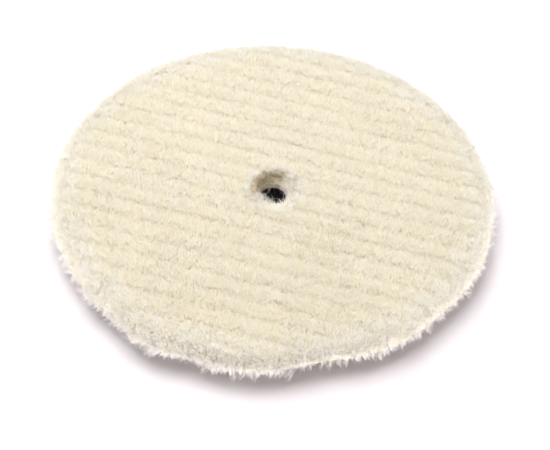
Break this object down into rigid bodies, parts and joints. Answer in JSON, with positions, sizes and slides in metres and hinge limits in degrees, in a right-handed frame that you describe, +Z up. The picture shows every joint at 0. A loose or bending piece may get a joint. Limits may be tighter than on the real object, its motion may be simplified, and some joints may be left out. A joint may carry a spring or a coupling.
{
  "type": "polishing pad",
  "caption": "Round wool polishing pad: rows of short cream pile on a ground cloth, bonded over dark foam to a loop-fabric back, with a small centre hole.",
  "frame": {"origin": "centre of the loop face, the flat underside that a backing plate holds, on the axis of the centre hole", "axes": "+Z up through the layers to the wool, along the centre hole; +X along the rows of pile; +Y across the rows"},
  "size_m": [0.16, 0.16, 0.015],
  "materials": {
    "wool_pile": "matte",
    "ground_cloth": "matte",
    "latex": "satin",
    "bond_film": "gloss",
    "foam": "matte",
    "loop_knit": "matte",
    "loop_nap": "matte"
  },
  "bodies": {
    "root": {"loop_nap": "loop_nap", "loop_base_knit": "loop_knit", "lower_bond_film": "bond_film", "foam_cushion": "foam", "upper_bond_film": "bond_film", "latex_coat": "latex", "ground_cloth": "ground_cloth", "pile_row_01": "wool_pile", "pile_row_02": "wool_pile", "pile_row_03": "wool_pile", "pile_row_04": "wool_pile", "pile_row_05": "wool_pile", "pile_row_06": "wool_pile", "pile_row_07": "wool_pile", "pile_row_08": "wool_pile", "pile_row_09": "wool_pile", "pile_row_10": "wool_pile", "pile_row_11": "wool_pile", "pile_row_12": "wool_pile", "pile_row_13": "wool_pile", "pile_row_14": "wool_pile", "pile_row_15": "wool_pile", "pile_row_16": "wool_pile", "pile_row_17": "wool_pile", "pile_row_18": "wool_pile", "pile_row_19": "wool_pile", "pile_row_20": "wool_pile"}
  },
  "joints": []
}
